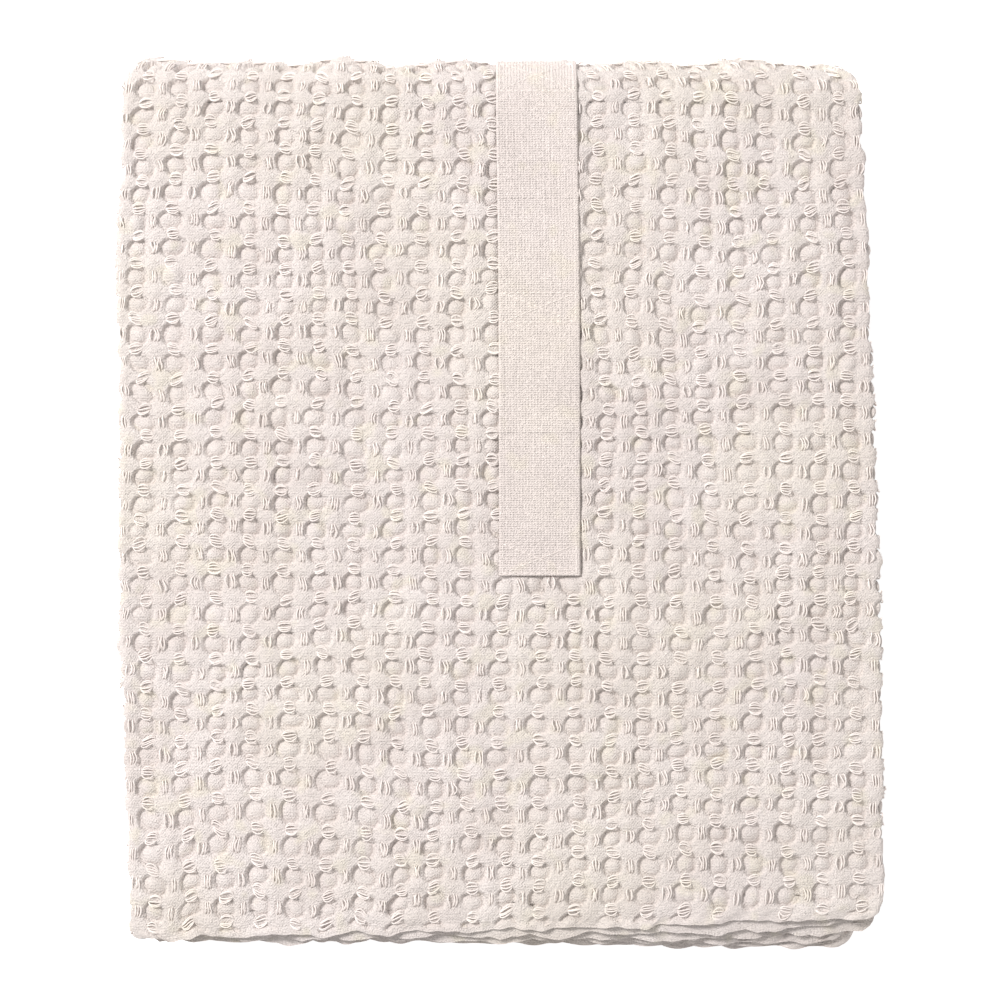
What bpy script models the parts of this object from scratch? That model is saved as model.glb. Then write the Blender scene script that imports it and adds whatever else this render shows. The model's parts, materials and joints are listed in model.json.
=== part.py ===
"""Folded throw blanket with a sewn hanging tape, in Blender 4.5.

A cotton waffle cloth is folded in thirds across its width into a long strip, the strip
is folded in half once (first fold) and in half again (top fold).  So the packet is four
strips of three layers each, and it lies with its back face on the floor.

Axes: +X across the packet, +Y towards the top fold, +Z up, away from the back face.
The origin is the middle of the bottom of the whole box.  All sizes are in metres.
"""

import math

import bmesh
import bpy

# ---- driving sizes ----
PACKET_WIDTH = 0.332          # across the packet, from side fold to side fold
PACKET_LENGTH = 0.385         # from the longest bottom edge to the tape over the top fold
CLOTH_THICKNESS = 0.0030      # one layer of waffle cloth
LAYER_GAP = 0.0003            # air between two layers of one strip
STRIP_GAP = 0.0006            # air between two strips, which is also the inside of a fold
END_GAP = 0.0003              # clearance where two pieces of the same cloth meet
THIRD_SHORT = 0.006           # how far the inner third stops short of the side fold

OUTER_STRIP_SHORT = 0.014     # the outer strip ends this far above the inner one
FIRST_FOLD_SHORT = 0.004      # the first fold ends this far above the inner strip
HEM_WIDTH = 0.008             # turned hem across each end of the cloth
HEM_THREAD_WIDTH = 0.0006
HEM_THREAD_HEIGHT = 0.0004
HEM_THREAD_INSET = 0.0065     # from the end of the cloth to the line of stitches
HEM_THREAD_SIDE_INSET = 0.010  # the line stops this far from each side of the packet

TAPE_WIDTH = 0.035
TAPE_THICKNESS = 0.0014
TAPE_OFFSET_X = 0.0163        # middle of the tape, to the right of the packet's middle
TAPE_END_Y = -0.0316          # lower, straight end of the tape
TAPE_OVER_TOP_DEG = 110.0     # how far the tape goes round the top fold
TAPE_LEAD = 0.002             # flat stretch of the top end below the fold's curve
MIDDLE_SEAM_Y = 0.0828        # middle of the middle seam

SEAM_HEIGHT = 0.0125          # along the tape, middle and bottom seams
TOP_SEAM_START_DEG = 13.0     # the top seam lies on the curve of the top fold
TOP_SEAM_END_DEG = 60.0
SEAM_SIDE_INSET = 0.0015      # from the tape's edge to the seam
SEAM_END_INSET = 0.0010       # from the tape's cut end to the bottom seam
SEAM_PATCH_MARGIN = 0.0008    # tape left beyond a seam before the free stretch begins
THREAD_WIDTH = 0.0009
THREAD_HEIGHT = 0.0005
SEAT_GAP = 0.0003             # tape above cloth, and thread above tape

TOP_FOLD_OPENS_DEG = 179.0    # the front half turns over until both halves lie flat
LOOP_LIFT = 0.010             # how far the middle of a free stretch of tape lifts

ARC_STEPS = 6                 # segments in a side fold
FOLD_STEPS = 12               # segments round the first and top folds
TAPE_STEPS = 12               # segments of the tape round the top fold
SEAM_CUTS = 8                 # cuts that let the top seam follow the curve
WELD_DISTANCE = 1e-6
EMPTY_SIZE = 0.02

# ---- sizes that follow from them ----
LAYER_PITCH = CLOTH_THICKNESS + LAYER_GAP
STRIP_THICKNESS = 3 * CLOTH_THICKNESS + 2 * LAYER_GAP
STRIP_PITCH = STRIP_THICKNESS + STRIP_GAP
STACK_HEIGHT = 3 * STRIP_PITCH + STRIP_THICKNESS
HALF_LENGTH = PACKET_LENGTH / 2
BOTTOM_Y = -HALF_LENGTH

TAPE_LOW_Z = STACK_HEIGHT + SEAT_GAP
TAPE_HIGH_Z = TAPE_LOW_Z + TAPE_THICKNESS
THREAD_LOW_Z = TAPE_HIGH_Z + SEAT_GAP
TOTAL_HEIGHT = THREAD_LOW_Z + THREAD_HEIGHT

TOP_FOLD_Z = STACK_HEIGHT / 2                       # middle of the top fold's curve
TOP_FOLD_RADIUS = STACK_HEIGHT / 2
TOP_FOLD_Y = HALF_LENGTH - TOP_FOLD_RADIUS - SEAT_GAP - TAPE_THICKNESS
FIRST_FOLD_Z = STRIP_THICKNESS + STRIP_GAP / 2
FIRST_FOLD_RADIUS = FIRST_FOLD_Z
FIRST_FOLD_Y = BOTTOM_Y + FIRST_FOLD_SHORT + FIRST_FOLD_RADIUS
HINGE_Z = TOTAL_HEIGHT / 2    # opened flat, the tape then just clears the floor

OUTER_END_Y = BOTTOM_Y + OUTER_STRIP_SHORT
INNER_END_Y = BOTTOM_Y

SEAM_WIDTH = TAPE_WIDTH - 2 * SEAM_SIDE_INSET
BOTTOM_SEAM_Y = TAPE_END_Y + SEAM_END_INSET + SEAM_HEIGHT / 2
PATCH_HALF = SEAM_HEIGHT / 2 + SEAM_PATCH_MARGIN
MIDDLE_LOW_Y = MIDDLE_SEAM_Y - PATCH_HALF
MIDDLE_HIGH_Y = MIDDLE_SEAM_Y + PATCH_HALF
BOTTOM_END_HIGH_Y = BOTTOM_SEAM_Y + PATCH_HALF
TOP_END_LOW_Y = TOP_FOLD_Y - TAPE_LEAD

CLOTH_COLOR = (0.76, 0.69, 0.64, 1.0)
TAPE_COLOR = (0.82, 0.75, 0.70, 1.0)
THREAD_COLOR = (0.84, 0.78, 0.73, 1.0)


# ---- scene, collection and materials ----
def clear_scene():
    for old in list(bpy.data.objects):
        bpy.data.objects.remove(old, do_unlink=True)


def make_collection(name):
    collection = bpy.data.collections.new(name)
    bpy.context.scene.collection.children.link(collection)
    return collection


def cotton(name, color, roughness):
    material = bpy.data.materials.new(name)
    material.use_nodes = True
    shader = material.node_tree.nodes["Principled BSDF"]
    shader.inputs["Base Color"].default_value = color
    shader.inputs["Roughness"].default_value = roughness
    shader.inputs["Metallic"].default_value = 0.0
    material.diffuse_color = color
    return material


clear_scene()
PARTS = make_collection("folded_throw_blanket")
WAFFLE = cotton("waffle_cotton", CLOTH_COLOR, 0.9)
HEM = cotton("hem_cotton", CLOTH_COLOR, 0.9)
TAPE = cotton("tape_cotton", TAPE_COLOR, 0.85)
THREAD = cotton("sewing_thread", THREAD_COLOR, 0.7)


# ---- joints: each moving piece hangs from an empty on its joint's axis ----
def joint_empty(name, location, axis, travel):
    """An empty that keeps its joint's axis and its travel, in degrees or metres."""
    empty = bpy.data.objects.new(name, None)
    empty.empty_display_size = EMPTY_SIZE
    empty.location = location
    empty["axis"] = axis
    empty["travel"] = travel
    PARTS.objects.link(empty)
    return empty


def hang(piece, empty):
    """Parent a piece to an unturned empty and keep its place in the world."""
    piece.parent = empty
    piece.location = piece.location - empty.location


# ---- shapes ----
def arc(center, radius, start_deg, end_deg, steps):
    """Points of an arc in a plane, both ends included."""
    points = []
    for step in range(steps + 1):
        angle = math.radians(start_deg + (end_deg - start_deg) * step / steps)
        points.append((center[0] + radius * math.cos(angle), center[1] + radius * math.sin(angle)))
    return points


def strip_outline(low_z, face_up):
    """Outline, in (x, z), of a strip folded in thirds, its face layer on top or below.

    From the free edge of the right third, the cloth runs right under the face layer,
    round the right side fold, left as the face layer, round the left side fold, and
    right again as the left third.
    """
    half = CLOTH_THICKNESS / 2
    face = STRIP_THICKNESS - half
    right_third = face - LAYER_PITCH
    left_third = right_third - LAYER_PITCH
    right_center = (face + right_third) / 2
    tight = LAYER_PITCH / 2
    wide = LAYER_PITCH
    right_x = PACKET_WIDTH / 2 - tight - half
    left_x = -PACKET_WIDTH / 2 + wide + half
    third_end_x = right_x - THIRD_SHORT
    points = [(left_x, right_third - half)]
    points += arc((right_x, right_center), tight + half, -90, 90, ARC_STEPS)
    points += arc((left_x, right_third), wide + half, 90, 270, ARC_STEPS)
    points += [(third_end_x, left_third - half), (third_end_x, left_third + half)]
    points += arc((left_x, right_third), wide - half, 270, 90, ARC_STEPS)
    points += arc((right_x, right_center), tight - half, 90, -90, ARC_STEPS)
    points += [(left_x, right_third + half)]
    if face_up:
        return [(x, low_z + z) for x, z in points]
    return [(x, low_z + STRIP_THICKNESS - z) for x, z in points]


def flat_outline(name, outlines, depth, location, rotation, material):
    """A closed outline, with holes if more follow, thickened both ways by half its depth."""
    curve = bpy.data.curves.new(name, "CURVE")
    curve.dimensions = "2D"
    curve.fill_mode = "BOTH"
    curve.extrude = depth / 2
    for outline in outlines:
        spline = curve.splines.new("POLY")
        spline.points.add(len(outline) - 1)
        for point, (across, up) in zip(spline.points, outline):
            point.co = (across, up, 0.0, 1.0)
        spline.use_cyclic_u = True
    curve.materials.append(material)
    piece = bpy.data.objects.new(name, curve)
    piece.location = location
    piece.rotation_euler = rotation
    PARTS.objects.link(piece)
    return piece


ALONG_Y = (math.pi / 2, 0.0, 0.0)               # outline in (x, z), thickened along Y
ALONG_X = (math.pi / 2, 0.0, math.pi / 2)       # outline in (y, z), thickened along X
ALONG_Z = (0.0, 0.0, 0.0)                       # outline in (x, y), thickened along Z


def strip(name, low_z, face_up, low_y, high_y, material):
    """A straight length of the folded strip."""
    outline = strip_outline(low_z, face_up)
    middle = (0.0, (low_y + high_y) / 2, 0.0)
    return flat_outline(name, [outline], high_y - low_y, middle, ALONG_Y, material)


def turned_strip(name, low_z, face_up, center_y, center_z, turn, material):
    """The same strip where it turns through half a circle, about a line along X."""
    cage = bmesh.new()
    outline = [cage.verts.new((x, 0.0, z - center_z)) for x, z in strip_outline(low_z, face_up)]
    section = cage.faces.new(outline)
    geometry = list(cage.verts) + list(cage.edges) + [section]
    half_circle = turn * math.pi
    bmesh.ops.spin(cage, geom=geometry, cent=(0, 0, 0), axis=(1, 0, 0), angle=half_circle, steps=FOLD_STEPS)
    bmesh.ops.recalc_face_normals(cage, faces=cage.faces)
    mesh = bpy.data.meshes.new(name)
    cage.to_mesh(mesh)
    cage.free()
    mesh.materials.append(material)
    piece = bpy.data.objects.new(name, mesh)
    piece.location = (0.0, center_y, center_z)
    PARTS.objects.link(piece)
    return piece


def block(name, low, high, material):
    """A box between two corners."""
    mesh = bpy.data.meshes.new(name)
    cage = bmesh.new()
    bmesh.ops.create_cube(cage, size=1.0)
    for vertex in cage.verts:
        for axis in range(3):
            vertex.co[axis] *= high[axis] - low[axis]
    cage.to_mesh(mesh)
    cage.free()
    mesh.materials.append(material)
    piece = bpy.data.objects.new(name, mesh)
    piece.location = [(low[axis] + high[axis]) / 2 for axis in range(3)]
    PARTS.objects.link(piece)
    return piece


def box_and_cross(width, height):
    """Outlines of a box of stitches with a cross in it: the box, then its four holes."""
    half_width = width / 2
    half_height = height / 2
    a = half_width - THREAD_WIDTH
    c = half_height - THREAD_WIDTH
    slant = math.hypot(a, c) * THREAD_WIDTH / 2
    top_x = a - slant / c
    side_y = c - slant / a
    box = [(-half_width, -half_height), (half_width, -half_height)]
    box += [(half_width, half_height), (-half_width, half_height)]
    holes = []
    for side in (1, -1):
        holes.append([(-top_x, side * c), (top_x, side * c), (0.0, side * slant / a)])
        holes.append([(side * a, -side_y), (side * a, side_y), (side * slant / c, 0.0)])
    return [box] + holes


def bend_round_top_fold(piece, start_deg):
    """Turn a flat seam, lying in (x, y) from y = 0, into a mesh that follows the top fold."""
    graph = bpy.context.evaluated_depsgraph_get()
    mesh = bpy.data.meshes.new_from_object(piece.evaluated_get(graph))
    cage = bmesh.new()
    cage.from_mesh(mesh)
    bmesh.ops.remove_doubles(cage, verts=cage.verts, dist=WELD_DISTANCE)
    length = max(vertex.co.y for vertex in cage.verts)
    for cut in range(1, SEAM_CUTS):
        everything = list(cage.verts) + list(cage.edges) + list(cage.faces)
        height = length * cut / SEAM_CUTS
        bmesh.ops.bisect_plane(cage, geom=everything, plane_co=(0, height, 0), plane_no=(0, 1, 0))
    radius = THREAD_LOW_Z - TOP_FOLD_Z
    for vertex in cage.verts:
        along = vertex.co.y
        out = radius + THREAD_HEIGHT / 2 + vertex.co.z
        angle = math.radians(start_deg) + along / radius
        vertex.co.y = out * math.sin(angle)
        vertex.co.z = out * math.cos(angle)
    bmesh.ops.triangulate(cage, faces=cage.faces)
    bmesh.ops.recalc_face_normals(cage, faces=cage.faces)
    cage.to_mesh(mesh)
    cage.free()
    name = piece.name
    material = piece.data.materials[0]
    bpy.data.objects.remove(piece, do_unlink=True)
    mesh.name = name
    mesh.materials.clear()
    mesh.materials.append(material)
    bent = bpy.data.objects.new(name, mesh)
    bent.location = (TAPE_OFFSET_X, TOP_FOLD_Y, TOP_FOLD_Z)
    PARTS.objects.link(bent)
    return bent


# ---- back half: it stays on the floor ----
def make_back_half():
    high_y = TOP_FOLD_Y - END_GAP
    low_y = FIRST_FOLD_Y + END_GAP
    strip("back_outer_strip", 0.0, False, low_y, high_y, WAFFLE)
    strip("back_inner_strip", STRIP_PITCH, True, low_y, high_y, WAFFLE)
    turned_strip("first_fold", 0.0, False, FIRST_FOLD_Y, FIRST_FOLD_Z, -1, WAFFLE)


# ---- top fold: the two strips turn over it one inside the other ----
def make_top_fold():
    turned_strip("top_fold_outer", 3 * STRIP_PITCH, True, TOP_FOLD_Y, TOP_FOLD_Z, -1, WAFFLE)
    turned_strip("top_fold_inner", 2 * STRIP_PITCH, False, TOP_FOLD_Y, TOP_FOLD_Z, -1, WAFFLE)


# ---- front half: it opens about the top fold ----
def make_hem(name, low_z, face_up, end_y, stitch_z):
    hem = strip(name + "_hem", low_z, face_up, end_y, end_y + HEM_WIDTH, HEM)
    side = PACKET_WIDTH / 2 - HEM_THREAD_SIDE_INSET
    line_y = end_y + HEM_THREAD_INSET
    low = (-side, line_y - HEM_THREAD_WIDTH / 2, stitch_z + SEAT_GAP)
    high = (side, line_y + HEM_THREAD_WIDTH / 2, stitch_z + SEAT_GAP + HEM_THREAD_HEIGHT)
    return [hem, block(name + "_hem_stitches", low, high, THREAD)]


def make_front_half(opening):
    high_y = TOP_FOLD_Y - END_GAP
    outer_z = 3 * STRIP_PITCH
    inner_z = 2 * STRIP_PITCH
    after_hem = HEM_WIDTH + END_GAP
    pieces = [
        strip("front_outer_strip", outer_z, True, OUTER_END_Y + after_hem, high_y, WAFFLE),
        strip("front_inner_strip", inner_z, False, INNER_END_Y + after_hem, high_y, WAFFLE),
    ]
    pieces += make_hem("outer", outer_z, True, OUTER_END_Y, outer_z + STRIP_THICKNESS)
    pieces += make_hem("inner", inner_z, False, INNER_END_Y, inner_z + STRIP_THICKNESS)
    for piece in pieces:
        hang(piece, opening)


# ---- hanging tape: sewn down at three seams, free between them ----
def tape_length(name, low_y, high_y):
    half = TAPE_WIDTH / 2
    low = (TAPE_OFFSET_X - half, low_y, TAPE_LOW_Z)
    high = (TAPE_OFFSET_X + half, high_y, TAPE_HIGH_Z)
    return block(name, low, high, TAPE)


def tape_over_top(name):
    """The top end: a short flat lead, then round the fold, outline in (y, z)."""
    inner = TAPE_LOW_Z - TOP_FOLD_Z
    outer = TAPE_HIGH_Z - TOP_FOLD_Z
    last = 90.0 - TAPE_OVER_TOP_DEG
    outline = [(-TAPE_LEAD, inner), (-TAPE_LEAD, outer)]
    outline += arc((0.0, 0.0), outer, 90.0, last, TAPE_STEPS)
    outline += arc((0.0, 0.0), inner, last, 90.0, TAPE_STEPS)
    center = (TAPE_OFFSET_X, TOP_FOLD_Y, TOP_FOLD_Z)
    return flat_outline(name, [outline], TAPE_WIDTH, center, ALONG_X, TAPE)


def flat_seam(name, center_y):
    center = (TAPE_OFFSET_X, center_y, THREAD_LOW_Z + THREAD_HEIGHT / 2)
    outlines = box_and_cross(SEAM_WIDTH, SEAM_HEIGHT)
    return flat_outline(name, outlines, THREAD_HEIGHT, center, ALONG_Z, THREAD)


def top_seam(name):
    radius = THREAD_LOW_Z - TOP_FOLD_Z
    height = math.radians(TOP_SEAM_END_DEG - TOP_SEAM_START_DEG) * radius
    raised = []
    for outline in box_and_cross(SEAM_WIDTH, height):
        raised.append([(x, y + height / 2) for x, y in outline])
    flat = flat_outline(name, raised, THREAD_HEIGHT, (0.0, 0.0, 0.0), ALONG_Z, THREAD)
    return bend_round_top_fold(flat, TOP_SEAM_START_DEG)


def make_tape(opening):
    upper_low = MIDDLE_HIGH_Y + END_GAP
    upper_high = TOP_END_LOW_Y - END_GAP
    lower_low = BOTTOM_END_HIGH_Y + END_GAP
    lower_high = MIDDLE_LOW_Y - END_GAP
    sewn = [
        tape_over_top("tape_top_end"),
        tape_length("tape_middle", MIDDLE_LOW_Y, MIDDLE_HIGH_Y),
        tape_length("tape_bottom_end", TAPE_END_Y, BOTTOM_END_HIGH_Y),
        top_seam("top_seam"),
        flat_seam("middle_seam", MIDDLE_SEAM_Y),
        flat_seam("bottom_seam", BOTTOM_SEAM_Y),
    ]
    for piece in sewn:
        hang(piece, opening)
    stretches = (("upper_loop", upper_low, upper_high), ("lower_loop", lower_low, lower_high))
    for name, low_y, high_y in stretches:
        middle = (TAPE_OFFSET_X, (low_y + high_y) / 2, TAPE_LOW_Z)
        lift = joint_empty(name + "_lift", middle, (0, 0, 1), LOOP_LIFT)
        hang(tape_length("tape_" + name, low_y, high_y), lift)
        hang(lift, opening)


make_back_half()
make_top_fold()
top_fold_axis = joint_empty("top_fold_axis", (0.0, TOP_FOLD_Y, HINGE_Z), (-1, 0, 0), TOP_FOLD_OPENS_DEG)
make_front_half(top_fold_axis)
make_tape(top_fold_axis)
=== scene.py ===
# %% [markdown]
# # A folded waffle throw with a hanging tape
#
# The real object is one cotton cloth, folded into a flat packet of twelve layers, with a
# flat tape sewn down its front. A first design gives the frame: plain solids for each
# length of cloth and tape, and three joints. This lesson dresses that frame with cloth.
# Nothing here is measured by eye in the window: every place comes from the frame.

# %% Load the frame
import json
import math

import bpy
import numpy as np
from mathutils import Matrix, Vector


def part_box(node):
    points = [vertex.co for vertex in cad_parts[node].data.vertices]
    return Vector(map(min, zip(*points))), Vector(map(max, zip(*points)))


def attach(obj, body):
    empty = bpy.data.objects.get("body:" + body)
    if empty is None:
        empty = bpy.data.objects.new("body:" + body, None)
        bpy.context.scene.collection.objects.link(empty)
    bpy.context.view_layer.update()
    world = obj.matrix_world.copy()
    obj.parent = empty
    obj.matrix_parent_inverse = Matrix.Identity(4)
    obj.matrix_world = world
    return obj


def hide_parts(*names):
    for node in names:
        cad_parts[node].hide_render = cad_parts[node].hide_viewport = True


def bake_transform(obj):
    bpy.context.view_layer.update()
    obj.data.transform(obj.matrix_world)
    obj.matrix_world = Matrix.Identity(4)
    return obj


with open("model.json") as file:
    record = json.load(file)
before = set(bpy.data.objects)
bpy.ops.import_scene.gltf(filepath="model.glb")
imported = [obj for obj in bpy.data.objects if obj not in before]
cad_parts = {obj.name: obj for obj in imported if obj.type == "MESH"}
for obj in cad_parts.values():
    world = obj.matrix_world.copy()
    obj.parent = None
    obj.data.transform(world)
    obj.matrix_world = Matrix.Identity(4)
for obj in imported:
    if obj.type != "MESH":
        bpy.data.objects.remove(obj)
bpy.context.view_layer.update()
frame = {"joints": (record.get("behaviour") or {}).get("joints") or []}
MM = 0.001
CM = 0.01

# %% [markdown]
# ## Where the cloth runs
# The packet is built from strips of three layers. A strip is the cloth folded in thirds
# across its width, so its section is a flat spiral: the face layer, a tight fold on the
# right with one third under it, and a wide fold on the left with the other third under
# both. All the sizes of that section follow from the box of one strip.

# %% Sizes read from the frame
outer_low, outer_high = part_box("front_outer_strip")
inner_low, inner_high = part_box("front_inner_strip")
back_low, back_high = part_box("back_outer_strip")
first_low, first_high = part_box("first_fold")
opening = next(j for j in frame["joints"] if j["name"] == "top_fold_opening")

STRIP = outer_high.z - outer_low.z
STRIP_GAP = outer_low.z - inner_high.z
LAYER_GAP = 0.3 * MM
CLOTH = (STRIP - 2 * LAYER_GAP) / 3
PITCH = CLOTH + LAYER_GAP
STACK = outer_high.z
HALF_WIDTH = outer_high.x
FOLD_Y = opening["pos_m"][1]
FOLD_Z = STACK / 2
OUTER_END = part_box("outer_hem")[0].y
INNER_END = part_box("inner_hem")[0].y
FIRST_Y = first_high.y
FIRST_Z = STRIP + STRIP_GAP / 2
TIGHT = PITCH / 2 + CLOTH / 2
WIDE = PITCH + CLOTH / 2
FACE_LEFT = -HALF_WIDTH + WIDE
FACE_RIGHT = HALF_WIDTH - TIGHT
print("strip", STRIP / MM, "stack", STACK / MM, "fold line at y", FOLD_Y / MM)

# %% [markdown]
# ## Soft noise without a texture
# Cloth is never quite straight. A few plane waves with chosen directions, added up, give
# a smooth field that can be evaluated anywhere, also on both sides of a seam between two
# pieces. A noise texture would need a lookup and would be harder to match at the seams.

# %% A smooth random field
def waves(u, v, seed, length, count=7):
    """A smooth field of about -1 to 1 over the cloth, with bumps about this long."""
    pick = np.random.default_rng(seed)
    total = np.zeros(np.broadcast(u, v).shape)
    for _ in range(count):
        turn = pick.uniform(0, math.tau)
        reach = length * pick.uniform(0.7, 1.5)
        phase = pick.uniform(0, math.tau)
        total = total + np.cos(math.tau * (u * math.cos(turn) + v * math.sin(turn)) / reach + phase)
    return total / math.sqrt(count)


def smooth(low, high, value):
    """0 below low, 1 above high, and an even ramp between them."""
    t = np.clip((value - low) / (high - low), 0.0, 1.0)
    return t * t * (3 - 2 * t)


# %% [markdown]
# ## The outline of the packet
# Seen from above the packet is not a rectangle: it is a little wider at the bottom, its
# sides wander by a millimetre or two, and the two upper corners are round because the
# folded sides draw in where the cloth turns over the top. Both side edges are short lists
# of points, read with straight-line interpolation and then softened.

# %% Side edges and round corners
LEFT_EDGE = [(-190, -160.5), (-150, -159), (-110, -161.5), (-60, -163.5), (0, -164), (60, -163.5),
             (110, -165.5), (150, -162.5), (192, -161.5)]
RIGHT_EDGE = [(-190, 166), (-60, 165.5), (0, 163.5), (60, 161), (110, 159), (150, 157.5), (192, 156)]
LEFT_CORNER = 10 * MM
RIGHT_CORNER = 16 * MM
TOP_Y = FOLD_Y + STACK / 2


def along_edge(points, y):
    """The edge's x at y, from points in mm, averaged over 20 mm so that no corner shows."""
    ys = [p[0] * MM for p in points]
    xs = [p[1] * MM for p in points]
    return sum(np.interp(y + shift * 5 * MM, ys, xs) for shift in (-2, -1, 0, 1, 2)) / 5


def corner(y, radius):
    """How far a round corner of this radius draws the side in at y."""
    into = np.clip((y - (TOP_Y - radius)) / radius, 0, 0.999)
    return radius * (1 - np.sqrt(1 - into * into))


def low_corner(from_end, radius):
    into = np.clip(1 - from_end / radius, 0, 0.97)
    return radius * (1 - np.sqrt(1 - into * into))


def side_edges(y, inset):
    """Left and right edge of a strip at y. The inset is how far it stays inside the outer strip."""
    low = smooth(-90 * MM, -185 * MM, y)
    inside = inset * (0.3 + 0.7 * low)
    end = np.where(inset > 0, INNER_END, OUTER_END)
    left = along_edge(LEFT_EDGE, y) + corner(y, LEFT_CORNER) + low_corner(y - end, 6 * MM) + 0.8 * inside
    right = along_edge(RIGHT_EDGE, y) - corner(y, RIGHT_CORNER) - low_corner(y - end, 8 * MM) - inside
    left = left + 0.5 * MM * waves(y, 0 * y + inset, 21, 16 * MM)
    right = right + 0.4 * MM * waves(y, 0 * y + inset, 22, 16 * MM)
    return left, right


print("width at the bottom and the top, mm:",
      [round(float(np.diff(side_edges(y * MM, 0))[0]) / MM, 1) for y in (-170, 165)])

# %% [markdown]
# ## From flat cloth to folded cloth
# A point of the cloth has u, its place across, and v, its distance along the whole cloth.
# The section turns u into a place on the spiral, and a run, straight or turning, carries
# that section along v. A third number is the height above the cloth's face. So the weave
# is drawn once, on flat cloth, and folded by these functions. Modelling each layer by
# hand would never keep the rows of cells in step from one layer to the next.

# %% The section across a strip
ARC_RIGHT = math.pi * TIGHT
ARC_LEFT = math.pi * WIDE
FOLD_LEFT_U = FACE_LEFT - ARC_LEFT
FOLD_RIGHT_U = FACE_RIGHT + ARC_RIGHT
LAST_RIGHT_U = FOLD_RIGHT_U + 2 * HALF_WIDTH - TIGHT - WIDE - 6 * MM
LAST_LEFT_U = FOLD_LEFT_U - (2 * HALF_WIDTH - WIDE - 4 * MM)


def section(u, y, inset):
    """Place and facing at u: x, depth below the face layer, and the normal across and down."""
    left, right = side_edges(y, inset)
    share = (u - FACE_LEFT) / (FACE_RIGHT - FACE_LEFT)
    flat_left = left + WIDE
    flat_right = right - TIGHT
    x = flat_left + np.clip(share, 0, 1) * (flat_right - flat_left)
    past_right = np.clip(u - FACE_RIGHT, 0, None)
    past_left = np.clip(FACE_LEFT - u, 0, None)
    right_turn = np.clip(past_right / TIGHT, 0, math.pi)
    left_turn = np.clip(past_left / WIDE, 0, math.pi)
    narrow = (flat_right - flat_left) / (FACE_RIGHT - FACE_LEFT)
    x = x + TIGHT * np.sin(right_turn) - narrow * np.clip(past_right - ARC_RIGHT, 0, None)
    x = x - WIDE * np.sin(left_turn) + narrow * np.clip(past_left - ARC_LEFT, 0, None)
    depth = TIGHT * (1 - np.cos(right_turn)) + WIDE * (1 - np.cos(left_turn))
    across = np.sin(right_turn) - np.sin(left_turn)
    outward = np.cos(right_turn + left_turn)
    return x, depth, across, outward


print("cloth across, m:", round(LAST_RIGHT_U - LAST_LEFT_U, 3))

# %% [markdown]
# ## The seven runs of the cloth
# From its outer end the cloth goes up the front, round the top fold, down the back, round
# the first fold, up again inside, round the narrow crease, and down the inside of the
# front. v grows all the way, about one and a half metres, so the cells never jump.

# %% The runs, in the order of v
FLAT_FRONT = FOLD_Y - OUTER_END
FLAT_BACK = FOLD_Y - FIRST_Y
FLAT_INNER = FOLD_Y - INNER_END
CREASE = STRIP_GAP / 2
INSIDE = 12 * MM
RUNS = {
    "front_outer": dict(length=FLAT_FRONT, y=OUTER_END, heading=1, z=STACK, up=1, inset=0.0),
    "top_fold": dict(length=math.pi * FOLD_Z, center=(FOLD_Y, FOLD_Z), radius=FOLD_Z, start=0.0,
                     turn=1, outward=1, inset=0.0),
    "back_outer": dict(length=FLAT_BACK, y=FOLD_Y, heading=-1, z=0.0, up=-1, inset=0.0, inset_end=INSIDE),
    "first_fold": dict(length=math.pi * FIRST_Z, center=(FIRST_Y, FIRST_Z), radius=FIRST_Z,
                       start=math.pi, turn=1, outward=1, inset=INSIDE),
    "back_inner": dict(length=FLAT_BACK, y=FIRST_Y, heading=1, z=FOLD_Z - CREASE, up=1, inset=INSIDE),
    "crease": dict(length=math.pi * CREASE, center=(FOLD_Y, FOLD_Z), radius=CREASE, start=math.pi,
                   turn=-1, outward=-1, inset=INSIDE),
    "front_inner": dict(length=FLAT_INNER, y=FOLD_Y, heading=-1, z=FOLD_Z + CREASE, up=-1, inset=INSIDE),
}
travelled = 0.0
for run in RUNS.values():
    run["v"] = travelled
    travelled += run["length"]
print("cloth along, m:", round(travelled, 3))


# %% The two ends of the cloth
def end_shift(name, x, u, along):
    """How far the cloth's end lies from the frame's straight one, fading out up the strip."""
    if name == "front_outer":
        slope = np.interp(x, [-HALF_WIDTH, -0.12, 0.06, HALF_WIDTH],
                          [-8.5 * MM, -7.5 * MM, -3 * MM, 1.5 * MM])
        step = np.interp(x, [-HALF_WIDTH, 0, 0.12, HALF_WIDTH], [0.3, 0.7, 1.0, 0.9])
        hidden = -4.5 * MM * step * smooth(FOLD_RIGHT_U - 4 * MM, FOLD_RIGHT_U + 25 * MM, u)
        hidden = hidden - 8.0 * MM * step * smooth(FOLD_LEFT_U + 4 * MM, FOLD_LEFT_U - 25 * MM, u)
        wave = 0.9 * MM * waves(u, 0 * u, 31, 26 * MM) + 0.35 * MM * waves(u, 0 * u, 32, 9 * MM)
        return (slope + hidden + wave) * smooth(90 * MM, 0, along)
    if name == "front_inner":
        slope = np.interp(x, [-HALF_WIDTH, -0.1, 0.02, HALF_WIDTH], [5 * MM, 4 * MM, 1 * MM, 0.0])
        hidden = 2.5 * MM * smooth(FOLD_LEFT_U, FOLD_LEFT_U - 30 * MM, u)
        wave = 1.2 * MM * waves(u, 0 * u, 33, 28 * MM) + 0.5 * MM * waves(u, 0 * u, 34, 11 * MM)
        return (slope + hidden + wave) * smooth(RUNS[name]["length"] - 90 * MM, RUNS[name]["length"], along)
    return 0.0


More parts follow.
